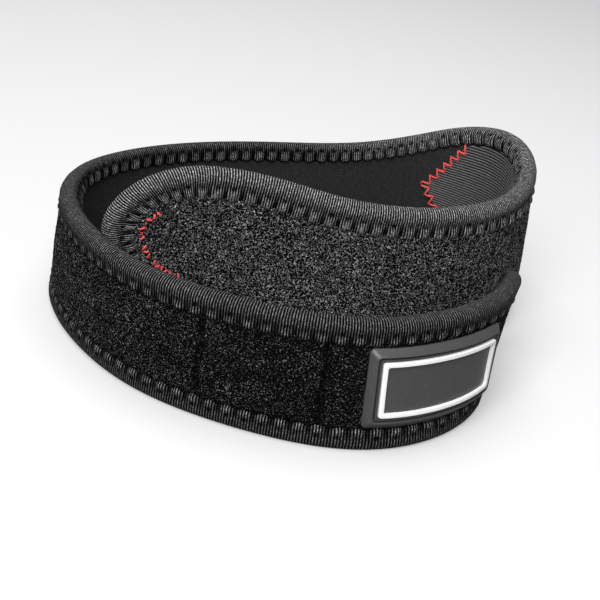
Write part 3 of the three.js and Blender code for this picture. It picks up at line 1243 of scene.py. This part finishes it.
@dataclass
class MouldedLabel:
    """The bevelled rubber label with its raised pale border and bare panel."""

    path: BandPath
    rubber: Material
    pale: Material
    start: float
    length: float
    half_height: float = 11.4
    rise: float = 2.2
    base: float = 2.7
    corner: float = 1.3
    least_corner: float = 0.5
    frame_inset: float = 3.5
    frame_width: float = 1.3
    frame_top: float = 2.44
    frame_bevel: float = 0.16
    frame_crown: float = 0.05
    frame_root: float = 0.1
    panel_share: float = 0.7
    corner_loss: float = 0.125
    corner_steps: int = 7
    side_steps: int = 61
    sharp: float = 35.0
    steps: tuple[LabelStep, ...] = tuple(LabelStep(*step) for step in (
        (0, 0), (0, 0.2), (0.12, 0.3), (1.75, 0.96), (1.95, 1.0),
        (2.15, 0.95), (2.25, 0.45), (2.65, 0.45), (2.75, 0.82), (3.05, 0.82),
        (3.15, 0.68), (4.4, 0.70), (6.0, 0.70), (8.5, 0.70), (11.4, 0.70),
    ))

    def loop(self, inset: float, level: float) -> Array:
        """Points of a rounded outline at a level over the band.

        Args:
            inset: distance in from the label's outline.
            level: millimetres over the label's base.

        Returns:
            Points in order round the outline.
        """
        half_length, half_height = self.length / 2 - inset, self.half_height - inset
        radius = min(max(self.least_corner, self.corner - self.corner_loss * inset), half_height)
        turn = np.linspace(0, math.pi / 2, self.corner_steps)
        corner_x = radius * (1 - np.cos(turn))
        corner_y = half_height - radius * (1 - np.sin(turn))
        run = np.linspace(-half_length + radius, half_length - radius, self.side_steps)[1:-1]
        x = np.concatenate([-half_length + corner_x, run, (half_length - corner_x)[::-1]])
        y = np.concatenate([corner_y, np.full(len(run), half_height), corner_y[::-1]])
        middle = self.start + self.length / 2
        xs, ys = np.concatenate([x, x[::-1]]), np.concatenate([y, -y[::-1]])
        return self.path.point(middle + xs, ys, np.full(len(xs), self.base + level))

    def body(self, name: str, section: Sequence[LabelStep], joined: bool) -> Piece:
        """Builds a body from outlines.

        Args:
            name: the piece's name.
            section: insets and levels in millimetres.
            joined: whether the section closes on itself.

        Returns:
            The body.
        """
        rings = np.stack([self.loop(step.inset, step.level) for step in section])
        along, across = np.arange(len(section) + 1.0), np.arange(rings.shape[1] + 1.0)
        return grid_mesh(name, rings, along, across / 2, joined)

    def place(self) -> list[Piece]:
        """Makes, dresses and places the plate and its pale border.

        Returns:
            Both pieces.
        """
        full = [LabelStep(self.half_height, 0)]
        full += [LabelStep(step.inset, step.level * self.rise) for step in self.steps]
        plate = self.body("moulded_label", full, False)
        low = self.panel_share * self.rise - self.frame_root
        top, bevel = self.frame_top, self.frame_bevel
        first, last = self.frame_inset, self.frame_inset + self.frame_width
        section = (
            LabelStep(first, low),
            LabelStep(first, top - bevel),
            LabelStep(first + bevel, top),
            LabelStep((first + last) / 2, top + self.frame_crown),
            LabelStep(last - bevel, top),
            LabelStep(last, top - bevel),
            LabelStep(last, low),
        )
        border = self.body("label_border", section, True)
        for piece in (plate, border):
            piece.data.set_sharp_from_angle(angle=math.radians(self.sharp))
        return [
            settle(plate, self.rubber, "label", "label_plate"),
            settle(border, self.pale, "frame_line", "label_frame"),
        ]


@dataclass(frozen=True)
class Zigzag:
    """How one zigzag seam is sewn.

    Attributes:
        pitch: length of one zig and zag.
        swing: distance to either side of the seam's line.
        level: level where the needle goes in.
        lift: how far a stitch stands off that at its middle, outward positive.
        sunk: least share of the lift that a stitch keeps, the rest being drawn into the cloth.
    """

    pitch: float
    swing: float
    level: float
    lift: float
    sunk: float


@dataclass
class RedStitches(BandPiece):
    """Red zigzag seams: round the tongue's tip through the pile, and along the hook tape's point."""

    inset: float = 11.3
    radius: float = 0.33
    in_pile: Zigzag = Zigzag(3.2, 1.2, 1.95, 1.15, 0.35)
    on_tape: Zigzag = Zigzag(4.0, 1.5, -3.1, -0.5, 0.9)
    arc: Span = (46, -74)
    arc_points: int = 90
    vee: tuple[Span, ...] = ((189.5, 12.0), (211.3, 0.5), (208.5, -13.5))
    leg_steps: int = 8
    tight: float = 0.9
    bow: float = 1.3
    seed: int = 5

    def sew(self, guide: Array, seam: Zigzag) -> Array:
        """Bends a guide line on the band's face into a zigzag thread.

        Args:
            guide: places s and u along the seam.
            seam: how the seam is sewn.

        Returns:
            Points of the thread.
        """
        way = np.concatenate([[0], np.cumsum(np.linalg.norm(np.diff(guide, axis=0), axis=1))])
        legs = int(2 * way[-1] / seam.pitch)
        samples = np.linspace(0, legs, legs * self.leg_steps + 1)
        at = samples * way[-1] / legs
        s, u = np.interp(at, way, guide[:, 0]), np.interp(at, way, guide[:, 1])
        ds, du = np.gradient(s, at), np.gradient(u, at)
        norm = np.hypot(ds, du)
        side = seam.swing * (2 * np.abs(samples % 2 - 1) - 1)
        kept = np.random.default_rng(self.seed).uniform(seam.sunk, 1.0, legs + 1)
        kept[::2] = np.maximum(kept[::2], self.tight)
        share = np.sin(math.pi * (samples % 1)) ** self.bow * kept[np.floor(samples).astype(int)]
        n = seam.level + seam.lift * share
        return self.path.point(s - side * du / norm, u + side * ds / norm, n)

    def make(self) -> Piece:
        """Builds both seams as one piece.

        Returns:
            The seams.
        """
        path = self.path
        turn = np.radians(np.linspace(*self.arc, self.arc_points))
        half = path.width / 2 - self.inset + np.where(turn < 0, path.drop, 0)
        places = path.tongue - (path.tongue - self.inset) * np.cos(turn)
        arc = np.column_stack([places, half * np.sin(turn)])
        runs = [self.sew(arc, self.in_pile), self.sew(np.array(self.vee), self.on_tape)]
        return thread_mesh("red_stitches", runs, self.radius)


class SoftBox(NamedTuple):
    """A soft square light: name, place and side in metres, and watts."""

    name: str
    place: tuple[float, float, float]
    side: float
    power: float


@dataclass
class Studio:
    """Pale floor, soft lights and the camera."""

    origin: Array
    focal: float = 1072.0
    distance: float = 361.0
    elevation: float = 28.3
    roll: float = 7.95
    centre: Span = (-9.85, 0.75)
    target: tuple[float, float, float] = (-4.5, 9.6, 0.0)
    picture: float = 600.0
    sensor: float = 36.0
    lights: tuple[SoftBox, ...] = (
        SoftBox("softbox_over", (-0.05, 0.15, 0.75), 0.5, 4.0),
        SoftBox("softbox_front", (-0.1, -0.55, 0.62), 0.6, 9.5),
    )
    lit_point: tuple[float, float, float] = (0, 0, 0.02)
    floor_lit: Colour = (0.2, 0.2, 0.2, 1)
    floor_seen: Colour = (0.42, 0.42, 0.42, 1)
    floor_glow: float = 0.27
    floor_reach: float = 6.0
    floor_rows: int = 8
    sky: float = 0.3

    def camera(self) -> Piece:
        """Sets the camera at the photograph's angle.

        Returns:
            The camera.
        """
        tilt, roll = math.radians(self.elevation), math.radians(self.roll)
        ahead = np.array([0, math.cos(tilt), -math.sin(tilt)])
        right, up = np.array([1.0, 0, 0]), np.array([0, math.sin(tilt), math.cos(tilt)])
        place = (np.array(self.target) + self.origin - self.distance * ahead) * MM
        x_axis = right * math.cos(roll) + up * math.sin(roll)
        y_axis = up * math.cos(roll) - right * math.sin(roll)
        turn = Matrix([x_axis, y_axis, -ahead]).transposed()
        data = bpy.data.cameras.new("camera")
        data.sensor_width = self.sensor
        data.lens = self.sensor * self.focal / self.picture
        data.shift_x = -self.centre[0] / self.picture
        data.shift_y = self.centre[1] / self.picture
        data.clip_start = 0.01
        made = new_object("camera", data)
        made.matrix_world = Matrix.Translation(Vector(place)) @ turn.to_4x4()
        bpy.context.scene.camera = made
        return made

    def light(self, box: SoftBox) -> None:
        """A soft square light that faces the object.

        Args:
            box: the light's sizes.
        """
        data = bpy.data.lights.new(box.name, "AREA")
        data.energy, data.size = box.power, box.side
        made = new_object(box.name, data)
        made.location = box.place
        made.rotation_mode = "QUATERNION"
        toward = Vector(self.lit_point) - Vector(box.place)
        made.rotation_quaternion = toward.to_track_quat("-Z", "Y")

    def floor(self) -> None:
        """A wide pale floor under the object."""
        mesh = bpy.data.meshes.new("floor")
        wide, rows = self.floor_reach, self.floor_rows
        line = np.linspace(-wide, wide, rows + 1)
        verts = [(x, y, 0.0) for x in line for y in line]
        side = rows + 1
        faces = [
            (i * side + k, (i + 1) * side + k, (i + 1) * side + k + 1, i * side + k + 1)
            for i in range(rows)
            for k in range(rows)
        ]
        mesh.from_pydata(verts, [], faces)
        made = new_object("floor", mesh)
        paint = bpy.data.materials.new("pale_floor")
        paint.use_nodes = True
        shader = paint.node_tree.nodes["Principled BSDF"]
        short = ShaderTree(paint.node_tree)
        seen = short.node("ShaderNodeLightPath").outputs["Is Camera Ray"]
        short.feed(short.blend(seen, self.floor_lit, self.floor_seen), shader.inputs["Base Color"])
        shader.inputs["Emission Color"].default_value = (1, 1, 1, 1)
        short.feed(short.times(seen, self.floor_glow), shader.inputs["Emission Strength"])
        shader.inputs["Roughness"].default_value = 0.9
        shader.inputs["Specular IOR Level"].default_value = 0.1
        mesh.materials.append(paint)

    def place(self) -> None:
        """Sets the whole studio up."""
        self.camera()
        self.floor()
        for box in self.lights:
            self.light(box)
        world = bpy.data.worlds.new("studio")
        world.use_nodes = True
        sky = world.node_tree.nodes["Background"]
        sky.inputs["Color"].default_value = (1, 1, 1, 1)
        sky.inputs["Strength"].default_value = self.sky
        bpy.context.scene.world = world
        bpy.context.scene.view_settings.view_transform = "Standard"


SURVEY_STEP, SURVEY_TURNS = 0.8, 13


def band_origin(path: BandPath) -> Array:
    """Where the path's own origin is in the part's frame, from the binding's packed box.

    Args:
        path: the path with its origin still at nought.

    Returns:
        The shift in millimetres.
    """
    places, _ = path.outline(SURVEY_STEP)
    angles = np.radians(np.linspace(0, 180, SURVEY_TURNS))[None, :]
    side = places.side[:, None]
    s, half = path.inset(places, path.half - path.half * np.sin(angles), side)
    level = np.broadcast_to(path.half * np.cos(angles), s.shape)
    points = path.point(s, side * half, level).reshape(-1, 3)
    low, high = (np.array(corner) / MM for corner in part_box("edge_binding"))
    shift = (low + high) / 2 - (points.min(0) + points.max(0)) / 2
    shift[2] = low[2] - points[:, 2].min()
    return shift


def main() -> None:
    """Builds the strap piece by piece and sets up the studio."""
    logging.basicConfig(level=logging.INFO, format="%(message)s")
    path = BandPath()
    path.origin = band_origin(path)
    LOG.info("band of %.1f mm, origin %s", path.length, np.round(path.origin, 3))
    Studio(path.origin).place()
    rows, fibres, curls = make_rows_group(), make_fibre_group(), make_curls_group()
    tape = RibbedTape("ribbed_tape", rows, fibres).build()
    binding = EdgeBinding(path, tape, "binding", ("edge_binding",))

    label_length, past_label, before_label = 44.0, 34.0, (0.24, 1.01)
    label_start = path.length - past_label - label_length
    seams = tuple(label_start - share * label_length for share in before_label)

    foam = LayerStrip(
        path, Jersey("jersey_lining", rows, fibres).build(), "lining", ("foam_band",), "foam_lining",
        near=-2.0, far=0.7, inset=3.6, step=2.0, columns=31, rise=0.35, crown=0.3,
        border=lambda s, u: np.full(np.shape(s), binding.inner_reach),
    ).place()
    LayerStrip(
        path, LoopNap("loop_pile", curls).build(), "pile", ("pile_facing",), "loop_pile",
        near=2.0, far=1.0, inset=3.8, step=0.5, columns=66, rise=0.75, crown=0.25,
        border=binding.outer_reach, roughness=0.07, pile_front_shade=0.7, seams=seams,
    ).place()
    binding.place()
    HookPatch(path, HookTape("hook_tape", rows, fibres).build(), "hook", ("hook_patch",)).place()
    pale, wear_and_shade = (0.78, 0.78, 0.77, 1), (0.84, 0.84, 0.83, 1)
    MouldedLabel(
        path,
        MouldedRubber("dark_rubber", fibres).build(),
        MouldedRubber("pale_rubber", fibres, pale, wear_and_shade, roughness=0.42).build(),
        label_start,
        label_length,
    ).place()
    RedStitches(path, Thread("red_thread", fibres).build(), "", ()).place()


if __name__ == "__main__":
    main()
